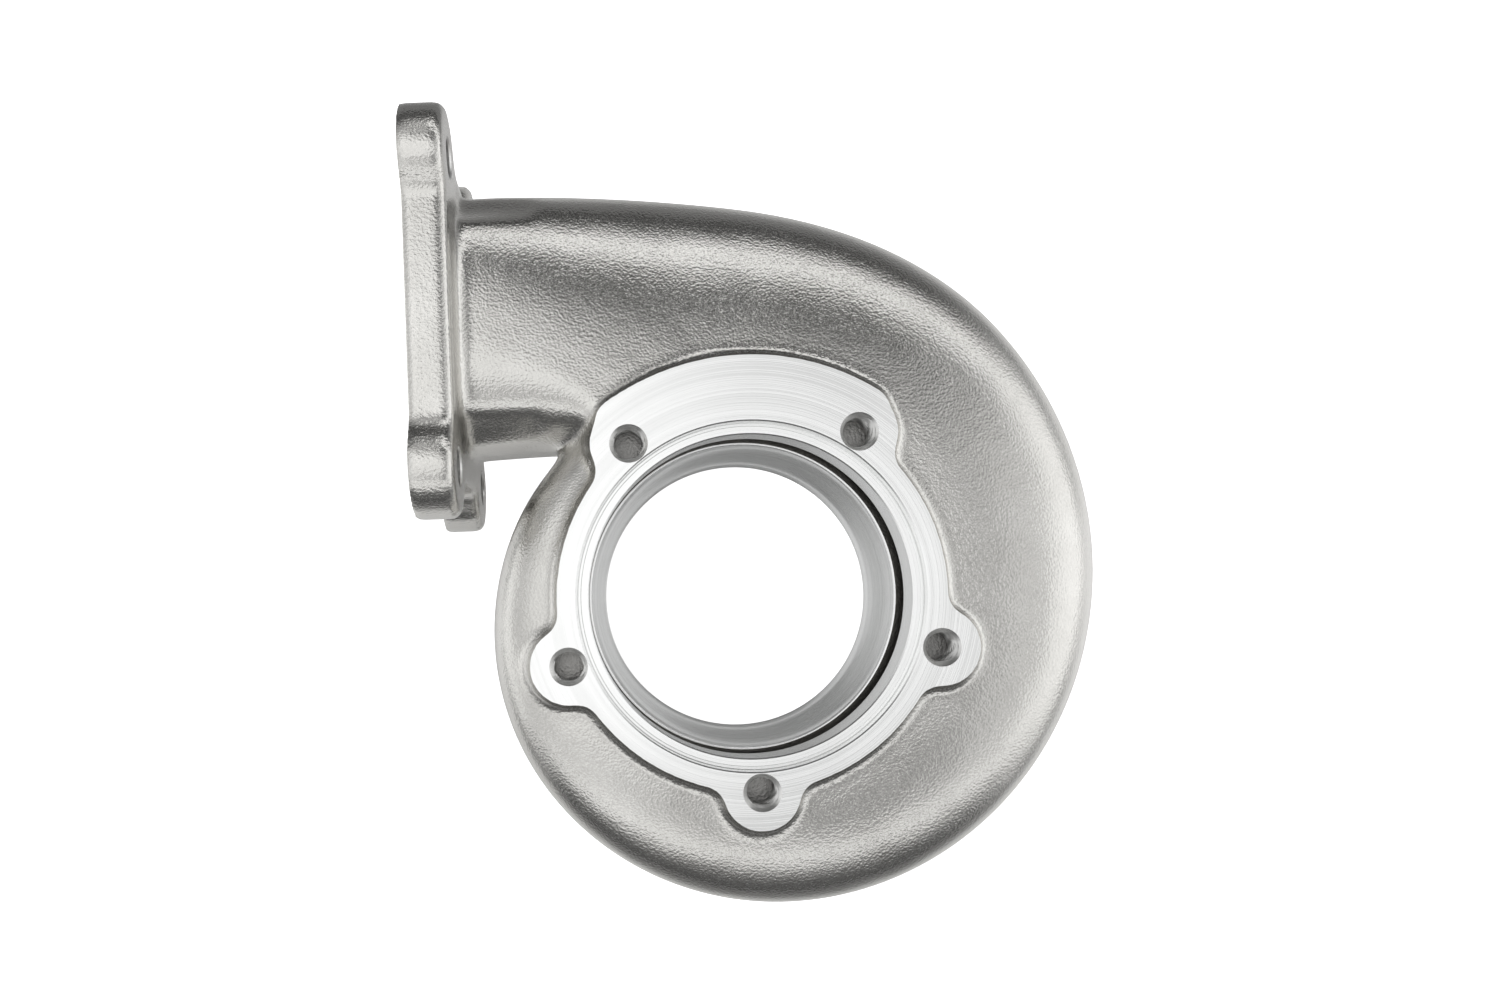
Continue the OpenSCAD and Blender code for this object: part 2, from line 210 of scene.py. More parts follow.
def scroll_rim(angle):
    """Outer radius at an angle: a cubic between each two radii, whose slope at a radius is half of what lies
    between its two neighbours. It goes straight on past the first radius, and past the last one it opens
    by `lead_out` a step, to meet the duct without a corner."""
    first = 2 * scroll_radii[0] - scroll_radii[1]
    last = scroll_radii[-2] + 2 * lead_out
    knots = np.concatenate([[first], scroll_radii, [last]])
    t = (angle - scroll_first) / scroll_step
    i = np.clip(np.floor(t), 0, len(scroll_radii) - 2).astype(int)
    f = t - i
    a, b, c, d = (knots[i + k] for k in range(4))
    bend, twist = 2 * a - 5 * b + 4 * c - d, 3 * b - a - 3 * c + d
    return b + (c - a) * f / 2 + bend * f ** 2 / 2 + twist * f ** 3 / 2


def scroll_half_at(angle):
    """Half the scroll's height, which grows evenly with the angle."""
    return mix(*scroll_half, (angle - scroll_first) / (scroll_end - scroll_first))


def wound_angle(x, y):
    """Angle in degrees from -270 to 90, so that it grows without a jump from the tongue to the duct."""
    angle = np.degrees(np.arctan2(y, x))
    return np.where(angle > scroll_end, angle - 360, angle)


def scroll_field(x, y, z, inset):
    """Section field at each point's own angle, moved inwards by `inset` for the passage."""
    angle = wound_angle(x, y)
    half = scroll_half_at(angle)
    return section_field(np.hypot(x, y) - roll_r, z - (web_z - half), rim_power, side_power,
                         scroll_rim(angle) - inset - roll_r, half - inset)


print("scroll radii at 0 and 90 degrees:", scroll_rim(np.array([0.0, 90.0])))

# %% Duct field
duct_power, port_power = 3.1, 3.6
square_powers, belly_powers = (14.0, 9.0), (2.8, 2.3)
notch_fillet = 7.0
run_past, least_depth = 1.02, 1.0


def duct_field(x, y, z, inset, end_long, end_short, end_power):
    """Section that eases from the scroll's last one to a rounded rectangle at the flange face.
    Outwards of its base line it has the scroll's powers at first, inwards it starts square. The rim bows
    out by a cubic of the way t, which leaves the scroll at the slope that the scroll arrives with."""
    t = np.clip(x / inlet_x, 0, run_past)
    e = ease(t)
    last_half = scroll_half_at(scroll_end)
    swell = 4 * t * (1 - t)
    base = mix(roll_r, inlet_y, e)
    opening = -inlet_x * lead_out / (math.radians(scroll_step) * scroll_radii[-1])
    bow = opening * t * (1 - t) ** 2 + duct_bow * t ** 2 * (1 - t)
    rim = mix(scroll_radii[-1] - inset, inlet_y + end_long / 2, e) + bow
    half = mix(last_half - inset, end_short / 2, e)
    mid = mix(web_z - last_half, inlet_z, e)
    if inset:
        inner = mix(passage_r, inlet_y - end_long / 2, e)
        inner_powers = [mix(power, end_power, e) for power in square_powers]
    else:
        soft, square = ease(t / inner_run), ease((t - inner_run) / (1 - inner_run))
        inner = mix(core_r, inlet_y - end_long / 2, soft) + duct_tuck * swell
        inner_powers = [mix(mix(first, belly, soft), end_power, square)
                        for first, belly in zip(square_powers, belly_powers)]
    outer_powers = [mix(power, end_power, e) for power in (rim_power, side_power)]
    outer_side = section_field(y - base, z - mid, *outer_powers, rim - base, half)
    inner_side = section_field(base - y, z - mid, *inner_powers, np.maximum(base - inner, least_depth), half)
    return np.where(y > base, outer_side, inner_side)


def volute_field(x, y, z):
    """Scroll and duct as one form, filleted in the notch where the duct passes over the scroll's tail."""
    scroll = scroll_field(x, y, z, 0.0)
    over_duct = np.broadcast_to((x < 0) & (y > 0), scroll.shape)
    duct = duct_field(x, y, z, 0.0, duct_long, duct_short, duct_power)
    duct = np.where(over_duct, np.maximum(duct, flange_back - flange_t / 2 - x), far_outside)
    return np.where(over_duct, soft_union_of_forms(scroll, duct, notch_fillet), scroll)


print("field in the middle of the duct:",
      duct_field(inlet_x / 2, inlet_y, inlet_z, 0.0, duct_long, duct_short, duct_power).round(1))


# %% [markdown]
# ## Outlines of the pad and the flange
# The pad under the lathe and the four-eared flange are flat forms with a drawn outline. A filled curve could
# make them, but its edges couldn't grow into the scroll. So an outline of arcs is sampled as points, and the
# signed distance to that closed chain of points gives the field of a plate.

# %% Outlines
def arc(centre, r, start, stop, steps):
    """Points on a circle from one angle to another, ends included."""
    angle = np.radians(np.linspace(start, stop, steps + 1))
    return np.asarray(centre, float) + r * np.stack([np.cos(angle), np.sin(angle)], 1)


def polar(r, angle):
    """Point at a radius and an angle: (r cos, r sin)."""
    return r * np.array([math.cos(math.radians(angle)), math.sin(math.radians(angle))])


def pad_outline():
    """Round pad with a lobe at each hole and a wide sector between the first two. The hollow arc beside a
    lobe touches both circles, so its centre closes a triangle with known sides: the cosine rule."""
    near, far, gap = pad_r + lobe_fillet, lobe_r + lobe_fillet, 3
    turn = math.degrees(math.acos((near ** 2 + bolt_circle_r ** 2 - far ** 2) / (2 * near * bolt_circle_r)))
    off = polar(near, turn) - [bolt_circle_r, 0]
    lean = math.degrees(math.atan2(off[1], off[0]))
    points = []
    for k in range(bolt_count):
        angle = bolt_clock + 360 / bolt_count * k
        centre = polar(bolt_circle_r, angle)
        before, after = polar(near, angle - turn), polar(near, angle + turn)
        end_angle = angle + sector_inset * (1 if k == 0 else -1)
        end_centre = polar(sector_r - sector_end_r, end_angle)
        first = angle + sector_turn if k == 1 else angle - lean
        last = angle - sector_turn if k == 0 else angle + lean
        if k == 1:
            points += [arc(end_centre, sector_end_r, end_angle, first, 8)]
        else:
            points += [arc(before, lobe_fillet, angle - turn + 180, angle - lean + 180, 6)]
        points += [arc(centre, lobe_r, first, last, 14)]
        if k == 0:
            points += [arc(end_centre, sector_end_r, last, end_angle, 8)]
            points += [arc((0, 0), sector_r, end_angle, angle + 360 / bolt_count - sector_inset, 24)]
        else:
            points += [arc(after, lobe_fillet, angle + lean + 180, angle + turn + 180, 6)]
            points += [arc((0, 0), pad_r, angle + turn + gap, angle + 360 / bolt_count - turn - gap, 6)]
    return np.concatenate(points)


def flange_outline():
    """Four ears joined by hollowed sides: one corner of arcs, mirrored twice. First number of a point is
    along the long side, second along the short side, both from the flange's middle."""
    def run_off(hollow):
        """Centre of the arc that rounds an ear into a hollow side, from the ear's own: a right triangle
        with both radii as its long side."""
        off = ear_r - hollow + ear_fillet
        return math.sqrt((ear_r + ear_fillet) ** 2 - off ** 2), off
    run_s, off_s = run_off(hollow_short)
    run_l, off_l = run_off(hollow_long)
    lean_s = math.degrees(math.atan2(off_s, run_s))
    lean_l = math.degrees(math.atan2(off_l, run_l))
    y, z = stud_long / 2, stud_short / 2
    corner = np.concatenate([
        arc((y + off_s, z - run_s), ear_fillet, 180, 90 + lean_s, 6),
        arc((y, z), ear_r, lean_s - 90, 180 - lean_l, 18),
        arc((y - run_l, z + off_l), ear_fillet, -lean_l, -90, 6)])
    flip = corner[::-1]
    return np.concatenate([corner, flip * (-1, 1), -corner, flip * (1, -1)])


def outline_distance(outline, u, v):
    """Signed distance of points to a closed outline: the nearest point of each edge, and a count of edges
    crossed by a ray to tell inside from outside."""
    best = np.full(np.broadcast(u, v).shape, 1e9)
    inside = np.zeros(best.shape, bool)
    for (u0, v0), (u1, v1) in zip(outline, np.roll(outline, -1, 0)):
        du, dv = u1 - u0, v1 - v0
        length = du * du + dv * dv
        if length < 1e-9:
            continue
        t = np.clip(((u - u0) * du + (v - v0) * dv) / length, 0, 1)
        best = np.minimum(best, (u - u0 - t * du) ** 2 + (v - v0 - t * dv) ** 2)
        if dv:
            inside ^= ((v0 > v) != (v1 > v)) & (u < u0 + du * (v - v0) / dv)
    return np.where(inside, -1, 1) * np.sqrt(best)


pad_points, flange_points = pad_outline(), flange_outline()
print("pad outline:", len(pad_points), "points; flange outline:", len(flange_points), "points")


# %% [markdown]
# ## Plates, neck and spanner hollows
# The pad and the flange leave the foundry a little too thick, and the lathe and the mill take the rest off.
# Round edges come from the field itself: outside a corner the distance to it is the hypotenuse of the
# distances to both faces. The hollows behind the flange are what a socket spanner needs to reach the nuts.

# %% Pad and flange fields
stock, flange_stock = 1.6, 0.5
pad_middle = 76.0
front_edge, back_edge = 1.2, 3.0


def plate(flat, thick, edge):
    """Field of a plate from its outline's distance and the distance to its faces, with round edges."""
    a, b = flat + edge, thick + edge
    return np.minimum(np.maximum(a, b), 0) + np.hypot(np.maximum(a, 0), np.maximum(b, 0)) - edge


def pad_field(x, y, z):
    """Pad with leaning sides, left too high by some stock for the lathe."""
    lean = math.radians(pad_draft)
    side = (outline_distance(pad_points, x, y) - (face_z - z) * math.tan(lean)) * math.cos(lean)
    return np.maximum(side, np.abs(z - pad_middle) - (face_z + stock - pad_middle))


def flange_field(x, y, z):
    """Flange with a round inner edge, left too thick by some stock on its face."""
    flat = outline_distance(flange_points, y - inlet_y, z - inlet_z)
    front = inlet_x - flange_stock
    middle, half = (front + flange_back) / 2, (flange_back - front) / 2
    return plate(flat, np.abs(x - middle) - half, np.where(x < middle, front_edge, back_edge))


print("pad field on the bore's axis:", pad_field(0.0, 0.0, face_z).round(1))

# %% Neck and hollow fields
neck_middle, neck_half, waist_round = 38.0, 36.0, 3.0
hollow_round, tail_gap = 6.0, 2.0


def neck_field(x, y, z):
    """Neck: the waist's cylinder, and above waist_z the outlet ring's cone, which runs on and narrows."""
    r = np.hypot(x, y)
    slope = (neck_r - waist_r) / (waist_z - ring_rim)
    cone = (r - waist_r - slope * (waist_z - z)) / math.hypot(1, slope)
    side = -soft_union(-cone, waist_r - r, waist_round)
    return np.maximum(side, np.abs(z - neck_middle) - neck_half)


def spanner_field(x, y, z):
    """Round-ended hollow along each stud's axis, behind the flange. It stops short of the scroll's tail."""
    hollow = np.full(np.broadcast(x, y, z).shape, 1e3)
    for side_y in (-1, 1):
        for side_z in (-1, 1):
            r = np.hypot(y - inlet_y - side_y * stud_long / 2, z - inlet_z - side_z * stud_short / 2)
            end = x - flange_back - clearance_len
            hollow = np.minimum(hollow, plate(r - clearance_r, end, hollow_round))
    return np.maximum(hollow, inlet_y - stud_long / 2 + tail_gap - y)


print("neck field in the wall at mid height:", neck_field(waist_r - wall / 2, 0.0, neck_middle).round(1))


# %% [markdown]
# ## From the field to a mesh
# Metaballs and the remesh modifier make surfaces of this kind from balls or from another mesh, but not from
# a formula. Surface nets read a mesh off any field. Every cell of a lattice that the surface passes through
# gets one vertex, at the mean of the points where the surface crosses the cell's edges, and every crossed
# edge gets a quad between the four cells around it. It works on whole arrays and gives even quads. Each
# vertex is then slid along the field's gradient until it lies on the surface.

# %% Surface nets
slides, longest_slide = 2, 0.4


def lattice(low, high, cell):
    """Coordinates of a box of lattice points as three arrays that broadcast against each other."""
    axes = [np.arange(a, b + cell, cell) for a, b in zip(low, high)]
    return axes[0][:, None, None], axes[1][None, :, None], axes[2][None, None, :]


def between(values, where):
    """Value of a lattice array at fractional lattice places: the weighted mean of eight corners."""
    i = np.clip(np.floor(where).astype(int), 0, np.array(values.shape) - 2)
    f = where - i
    total = 0.0
    for corner in np.ndindex(2, 2, 2):
        weight = np.prod(np.where(corner, f, 1 - f), axis=1)
        total = total + weight * values[tuple((i + corner).T)]
    return total


def surface_net(field, low, cell):
    """Vertices in mm and quads of the surface where the field is zero."""
    cells = np.array(field.shape)
    points, owners, quads = [], [], []
    for axis in range(3):
        u, v = (axis + 1) % 3, (axis + 2) % 3
        a = np.take(field, range(cells[axis] - 1), axis)
        b = np.take(field, range(1, cells[axis]), axis)
        place = np.argwhere((a < 0) != (b < 0))
        value_a, value_b = a[tuple(place.T)], b[tuple(place.T)]
        crossing = place.astype(float)
        crossing[:, axis] += value_a / (value_a - value_b)
        around = []
        for step_u, step_v in ((0, 0), (-1, 0), (-1, -1), (0, -1)):
            cell_index = place.copy()
            cell_index[:, u] += step_u
            cell_index[:, v] += step_v
            around.append(np.ravel_multi_index(cell_index.T, cells))
        around = np.stack(around, 1)
        points.append(np.repeat(crossing, 4, axis=0))
        owners.append(around.ravel())
        quads.append(np.where((value_a < 0)[:, None], around, around[:, ::-1]))
    points, owners, quads = (np.concatenate(part) for part in (points, owners, quads))
    names, index = np.unique(owners, return_inverse=True)
    count = np.bincount(index)
    vertices = np.stack([np.bincount(index, points[:, k]) / count for k in range(3)], 1)
    quads = np.searchsorted(names, quads)
    slopes = np.gradient(field)
    for _ in range(slides):
        slope = np.stack([between(s, vertices) for s in slopes], 1)
        push = between(field, vertices) / np.maximum((slope ** 2).sum(1), 1e-4)
        vertices -= np.clip(push[:, None] * slope, -longest_slide, longest_slide)
    return vertices * cell + low, quads


ball = np.sqrt(sum(axis ** 2 for axis in lattice((-6, -6, -6), (6, 6, 6), 1.0))) - 4.0
ball_mm, ball_quads = surface_net(ball, np.array([-6.0, -6.0, -6.0]), 1.0)
print("a ball of radius 4 as a trial:", np.linalg.norm(ball_mm, axis=1).mean().round(3), "in",
      len(ball_quads), "quads")

# %% [markdown]
# ## Skin of the casting
# The forms are joined in the order of the real shape: the hollows are cut from the volute first, and the
# neck, the flange and the pad then grow out of what is left. A cell of a bit over a millimetre is fine
# enough for the fillets and keeps the mesh light. The whole skin is tucked in by less than a tenth of a
# millimetre, so that its roundings stay inside the CAD model.

# %% Raw casting
skin_cell = 1.36
skin_tuck = 0.08
skin_low, skin_high = np.array([-100.0, -99.0, 0.5]), (114, 148, 104)
hollow_fillet, neck_fillet, pad_fillet = 2.5, 6.0, 3.0
duct_fillet, ear_side_fillet = 5.0, 4.0
fillet_turns_at, fillet_turns_over = 18, 14

grid = lattice(skin_low, skin_high, skin_cell)
volute = volute_field(*grid)
volute = soft_cut(volute, spanner_field(*grid), hollow_fillet)
volute = soft_union(volute, neck_field(*grid), neck_fillet)
to_ears = ease((np.abs(grid[1] - inlet_y) - fillet_turns_at) / fillet_turns_over)
volute = soft_union(volute, flange_field(*grid), mix(duct_fillet, ear_side_fillet, to_ears))
volute = soft_union(volute, pad_field(*grid), pad_fillet)
skin_mm, skin_quads = surface_net(volute + skin_tuck, skin_low, skin_cell)
print("lattice", volute.shape, "skin:", len(skin_mm), "vertices", len(skin_quads), "quads")
print("skin from", skin_mm.min(0).round(2), "to", skin_mm.max(0).round(2))

# %% [markdown]
# ## Gas passage
# In the foundry a ceramic core leaves the passage behind. It is the same scroll and duct moved inwards by
# the wall, except where the bolts need solid metal over the nozzle gap. It ends at the tongue. Little of it
# is ever seen, so its lattice is coarser. A solidify modifier could hollow the skin too, but it would keep
# the wall even where the real one is thick.

# %% Core of the passage
core_cell = 2.2
core_start = -224.0
core_low, core_high = np.array([-104.0, -94.0, 27.0]), (108, 128, 80)
core_over = 3
roof_step = 0.4
core_notch, core_edge, land_edge = 3.0, 1.5, 2.0


def core_field(x, y, z):
    """Scroll and duct moved inwards, outside the shroud's wall and under the bolts' land, and closed off
    just in front of the inlet face."""
    r = np.hypot(x, y)
    angle = wound_angle(x, y)
    scroll = np.maximum(scroll_field(x, y, z, wall), np.radians(core_start - angle) * r)
    over_duct = np.broadcast_to((x < 0) & (y > 0), scroll.shape)
    duct = duct_field(x, y, z, wall, port_long, port_short, port_power)
    duct = np.where(over_duct, np.maximum(duct, inlet_x - core_over - x), far_outside)
    core = np.where(over_duct, soft_union_of_forms(scroll, duct, core_notch), scroll)
    core = soft_cut(core, r - passage_r, core_edge)
    land_r = np.minimum(bolt_land_r, scroll_rim(angle) - 2 * wall)
    land = np.maximum(r - land_r, nozzle_top - roof_step - z)
    return soft_cut(core, land, land_edge)


core_grid = lattice(core_low, core_high, core_cell)
core_mm, core_quads = surface_net(core_field(*core_grid), core_low, core_cell)
print("core:", len(core_mm), "vertices", core_mm.min(0).round(2), core_mm.max(0).round(2))

# %% [markdown]
# ## Turned cutters
# A lathe leaves surfaces of revolution, so each cut is a profile of radius and height swept round an axis.
# Rings of points, one ring for each point of the profile, close into a solid with a flat cap at both ends.
# The screw modifier sweeps a profile as well, but these rings also make a thread, when their radius depends
# on the angle.

# %% Solids from rings
CAST, TURNED, INSIDE, MILLED, TAPPED, DRILLED = range(6)


def solid(rings, bands):
    """Closed solid from rings of points (ring, point, xyz): vertices, faces, and the slot of each face.
    `bands` gives the slot between two rings; the caps take the first and the last of them."""
    count, around = rings.shape[:2]
    index = np.arange(count * around).reshape(count, around)
    low, high = index[:-1], index[1:]
    quads = np.stack([low, np.roll(low, -1, 1), np.roll(high, -1, 1), high], -1).reshape(-1, 4)
    bands = np.broadcast_to(bands, count - 1)
    faces = quads.tolist() + [index[0][::-1].tolist(), index[-1].tolist()]
    slots = np.concatenate([np.repeat(bands, around), bands[[0, -1]]])
    return rings.reshape(-1, 3), faces, slots.copy()


def joined(solids):
    """Several solids that don't touch as one."""
    vertices, faces, slots, start = [], [], [], 0
    for part_vertices, part_faces, part_slots in solids:
        vertices.append(part_vertices)
        faces += [[corner + start for corner in face] for face in part_faces]
        slots.append(part_slots)
        start += len(part_vertices)
    return np.concatenate(vertices), faces, np.concatenate(slots)


def revolve(profile, around):
    """Rings of a profile of (radius, height) turned about Z: (r cos t, r sin t, z)."""
    profile = np.asarray(profile, float)
    turn = np.linspace(0, 2 * np.pi, around, endpoint=False)
    r, z = profile[:, 0, None], profile[:, 1, None]
    return np.stack([r * np.cos(turn), r * np.sin(turn), z + 0 * turn], -1)


# %% Bore and face
lathe_steps = 224
lip_points, contour_points = 6, 12
over, mouth_wide, mouth_bevel, edge, groove = 3, 0.6, 0.7, 0.35, 0.45
face_cut_r, face_cut_h = 75, 6


def bore_profile():
    """Outline of all that the lathe takes out of the middle, from below the outlet up over the face. The
    contour under the lip widens by a smooth step."""
    lip = arc((lip_r + lip_round, nozzle_bottom - lip_round), lip_round, 180, 90, lip_points)
    t = np.linspace(0, 1, contour_points + 1)[:-1]
    contour = np.stack([mix(throat_r, lip_r, ease(t)), mix(throat_z, nozzle_bottom - lip_round, t)], 1)
    step_z, mouth_r = face_z - step_depth, outlet_r + mouth_wide
    return np.concatenate([
        [(mouth_r, -over), (mouth_r, 0), (mouth_r - mouth_bevel, mouth_bevel),
         (throat_r, throat_z - throat_len)],
        contour, lip,
        [(gap_r, nozzle_bottom), (gap_r, nozzle_top), (pilot_r, nozzle_top),
         (pilot_r, step_z - edge), (pilot_r + edge, step_z), (step_r - 3 * groove, step_z),
         (step_r - 2.5 * groove, step_z - groove), (step_r - groove, step_z - groove),
         (step_r - groove / 2, step_z + groove), (step_r, step_z + groove),
         (step_r, face_z - edge), (step_r + edge, face_z), (face_cut_r, face_z),
         (face_cut_r, face_z + face_cut_h)]])


profile = bore_profile()
band_r, band_z = np.maximum(profile[1:], profile[:-1]).T
# The faces in the nozzle gap take the dark inside finish, painted shade that makes the gap look black
in_gap = (band_r > passage_r) & (np.abs(band_z - (nozzle_bottom + nozzle_top) / 2) < nozzle_w)
bore = solid(revolve(profile, lathe_steps), np.where(in_gap, INSIDE, TURNED))
print("bore profile:", len(profile), "points")


# %% Outlet ring
def ring_profile():
    """Outlet ring: flat below, a rim, and the slope that the clamp band draws on. It reaches inwards to
    where the bore is cut later, and upwards into the neck."""
    inner_r, low_bevel, high_bevel, root_lean, root_h = 50, 0.4, 0.3, 0.8, 2.7
    slope_top = ring_rim + (ring_r - neck_r) * math.tan(math.radians(ring_slope))
    return [(inner_r, 0), (ring_r - low_bevel, 0), (ring_r, low_bevel),
            (ring_r, ring_rim - high_bevel), (ring_r - high_bevel, ring_rim), (neck_r, slope_top),
            (neck_r - root_lean, slope_top + root_h), (inner_r, slope_top + root_h)]


outlet_ring = solid(revolve(ring_profile(), lathe_steps), TURNED)
print("outlet ring:", len(outlet_ring[1]), "faces")

# %% [markdown]
# ## Holes
# The five holes in the face are tapped M10: the tap leaves a ridge that climbs 1.5 mm a turn. The radius of
# the cutter is the thread's own, a triangle wave of angle and height with its tips cut flat, or that of the
# chamfer where this is larger. The four stud holes in the flange are plain, with a chamfer at both mouths.

# %% Hole cutters
def tapped_hole(x, y):
    """Rings whose radius is the larger of the thread and the chamfer. The ridge is 1.3 times a triangle
    wave of height less turn, lowered by 0.15 and cut off at 0 and 1."""
    pitch, crest, mouth, around, ring_gap = 1.5, 5.0, 5.65, 36, 0.22
    steep, lowered = 1.3, 0.15
    turn = np.linspace(0, 2 * np.pi, around, endpoint=False)
    z = np.concatenate([np.arange(face_z - bolt_depth, face_z, ring_gap), [face_z, face_z + 1]])[:, None]
    phase = (z / pitch - turn / (2 * np.pi)) % 1
    ridge = np.clip(steep * np.abs(2 * phase - 1) - lowered, 0, 1)
    chamfer = mouth - (face_z - z)
    r = np.maximum(bolt_hole_r + (crest - bolt_hole_r) * ridge, chamfer)
    rings = np.stack([r * np.cos(turn), r * np.sin(turn), z + 0 * r], -1)
    vertices, faces, slots = solid(rings + (x, y, 0), TAPPED)
    slots[-2] = DRILLED
    return vertices, faces, slots


def stud_cutter(y, z):
    """Plain hole along X with a chamfer at both mouths."""
    past, bevel, r, around = 2.0, 0.6, stud_hole_r, 56
    wide = r + bevel + past
    profile = [(wide, -past), (r, bevel), (r, flange_t - bevel), (wide, flange_t + past)]
    rings = revolve(profile, around)[..., [2, 0, 1]]
    return solid(rings + (inlet_x, y, z), TAPPED)


turn = np.radians(bolt_clock + 360 / bolt_count * np.arange(bolt_count))
holes = joined([tapped_hole(bolt_circle_r * math.cos(t), bolt_circle_r * math.sin(t)) for t in turn]
               + [stud_cutter(inlet_y + v * stud_long / 2, inlet_z + w * stud_short / 2)
                  for v in (-1, 1) for w in (-1, 1)])
print("holes:", len(holes[1]), "faces")

# %% [markdown]
# ## Finish
# The skin is bead-blasted cast steel: an orange peel of cells a bit under a millimetre across, a finer
# grain, a slow unevenness and a few shallow pits. The lathe leaves fine rings that share one axis, and the
# mill straight marks. All of it is worked out from each point's place in the part, so nothing has to be
# unwrapped. Both effects are node groups, because more than one material uses them.

# %% Node helpers
def add(tree, kind, **inputs):
    """New node; keywords name its inputs, or its own properties where no input has that name."""
    made = tree.nodes.new(kind)
    for key, value in inputs.items():
        name = key.replace("_", " ").title()
        if name in made.inputs:
            made.inputs[name].default_value = value
        else:
            setattr(made, key, value)
    return made


def wire(tree, *pairs):
    """Links, each from an output socket to an input socket."""
    for source, target in pairs:
        tree.links.new(source, target)


def math_node(tree, operation, a, b=None, c=None):
    """Math node with numbers or sockets for its inputs; returns its output."""
    made = add(tree, "ShaderNodeMath", operation=operation)
    for socket, value in zip(made.inputs, (a, b, c)):
        if isinstance(value, (int, float)):
            socket.default_value = value
        elif value is not None:
            tree.links.new(value, socket)
    return made.outputs[0]


def length_node(tree, a, b):
    """Length of a vector from two of its parts: the root of a squared plus b squared."""
    return math_node(tree, "SQRT", math_node(tree, "MULTIPLY_ADD", a, a, math_node(tree, "MULTIPLY", b, b)))


def split_node(tree, where):
    """The three numbers of a vector."""
    split = add(tree, "ShaderNodeSeparateXYZ")
    wire(tree, (where, split.inputs["Vector"]))
    return split.outputs


def ranged(tree, value, low, high, to_low, to_high):
    """Value mapped from one range to another and held inside it."""
    made = add(tree, "ShaderNodeMapRange", clamp=True)
    for name, number in (("From Min", low), ("From Max", high), ("To Min", to_low), ("To Max", to_high)):
        made.inputs[name].default_value = number
    tree.links.new(value, made.inputs["Value"])
    return made.outputs["Result"]


def noise(tree, where, scale, detail=2.0, roughness=0.5):
    """Cloudy noise from 0 to 1, with `scale` cells in a metre."""
    made = add(tree, "ShaderNodeTexNoise", scale=scale, detail=detail, roughness=roughness)
    tree.links.new(where, made.inputs["Vector"])
    return made.outputs["Fac"]


def blend(tree, fac, low, high):
    """Colour mixed from one to another by a factor."""
    made = add(tree, "ShaderNodeMix", data_type="RGBA")
    tree.links.new(fac, made.inputs["Factor"])
    colours = [socket for socket in made.inputs if socket.type == "RGBA"]
    for socket, colour in zip(colours, (low, high)):
        if isinstance(colour, tuple):
            socket.default_value = (*colour, 1)
        else:
            tree.links.new(colour, socket)
    return next(socket for socket in made.outputs if socket.type == "RGBA")


def group(name, inputs, outputs):
    """Empty node group with named sockets; returns it with its input and output nodes."""
    tree = bpy.data.node_groups.new(name, "ShaderNodeTree")
    for direction, sockets in (("INPUT", inputs), ("OUTPUT", outputs)):
        for socket, kind in sockets:
            tree.interface.new_socket(name=socket, in_out=direction, socket_type="NodeSocket" + kind)
    return tree, tree.nodes.new("NodeGroupInput"), tree.nodes.new("NodeGroupOutput")


# %% Group for cast skin
def cast_skin_group():
    """Height is peel plus a share each of grain and wave, less the pits; the mask follows slow stains."""
    tree, given, result = group("cast_skin", [("Vector", "Vector")],
                                [("Mask", "Float"), ("Roughness", "Float"), ("Height", "Float")])
    where = given.outputs["Vector"]
    peel = noise(tree, where, 1300, 1.5, 0.5)
    grain = noise(tree, where, 2300, 1.0, 0.5)
    wave = noise(tree, where, 85, 1.0, 0.4)
    stain = noise(tree, where, 38, 3.0, 0.6)
    cells = add(tree, "ShaderNodeTexVoronoi", scale=210)
    wire(tree, (where, cells.inputs["Vector"]))
    pit = ranged(tree, cells.outputs["Distance"], 0.05, 0.14, 1, 0)
    pit = math_node(tree, "MULTIPLY", pit, ranged(tree, noise(tree, where, 55), 0.62, 0.70, 0, 1))
    height = math_node(tree, "MULTIPLY_ADD", grain, 0.22, peel)
    height = math_node(tree, "MULTIPLY_ADD", wave, 1.4, height)
    height = math_node(tree, "MULTIPLY_ADD", pit, -0.3, height)
    mask = math_node(tree, "MULTIPLY_ADD", stain, 0.7, math_node(tree, "MULTIPLY", peel, 0.3))
    wire(tree, (mask, result.inputs["Mask"]), (height, result.inputs["Height"]),
         (ranged(tree, grain, 0.3, 0.7, -0.03, 0.03), result.inputs["Roughness"]))
    return tree


# %% Group for tool marks
def tool_marks_group():
    """Fine lines of uneven depth along whatever the input measures across them, in metres."""
    tree, given, result = group("tool_marks", [("Across", "Float"), ("Vector", "Vector")],
                                [("Mask", "Float"), ("Height", "Float")])
    lines = []
    for scale in (2600, 900, 240):
        line = add(tree, "ShaderNodeTexNoise", noise_dimensions="1D", scale=scale, detail=2.0)
        wire(tree, (given.outputs["Across"], line.inputs["W"]))
        lines.append(line.outputs["Fac"])
    height = math_node(tree, "MULTIPLY_ADD", lines[1], 1.4, lines[0])
    mask = math_node(tree, "MULTIPLY_ADD", lines[2], 0.6, math_node(tree, "MULTIPLY", lines[1], 0.4))
    smear = noise(tree, given.outputs["Vector"], 60, 2.0)
    mask = math_node(tree, "MULTIPLY_ADD", smear, 0.3, mask)
    wire(tree, (mask, result.inputs["Mask"]), (height, result.inputs["Height"]))
    return tree


cast_skin, tool_marks = cast_skin_group(), tool_marks_group()
print("groups:", cast_skin.name, tool_marks.name)
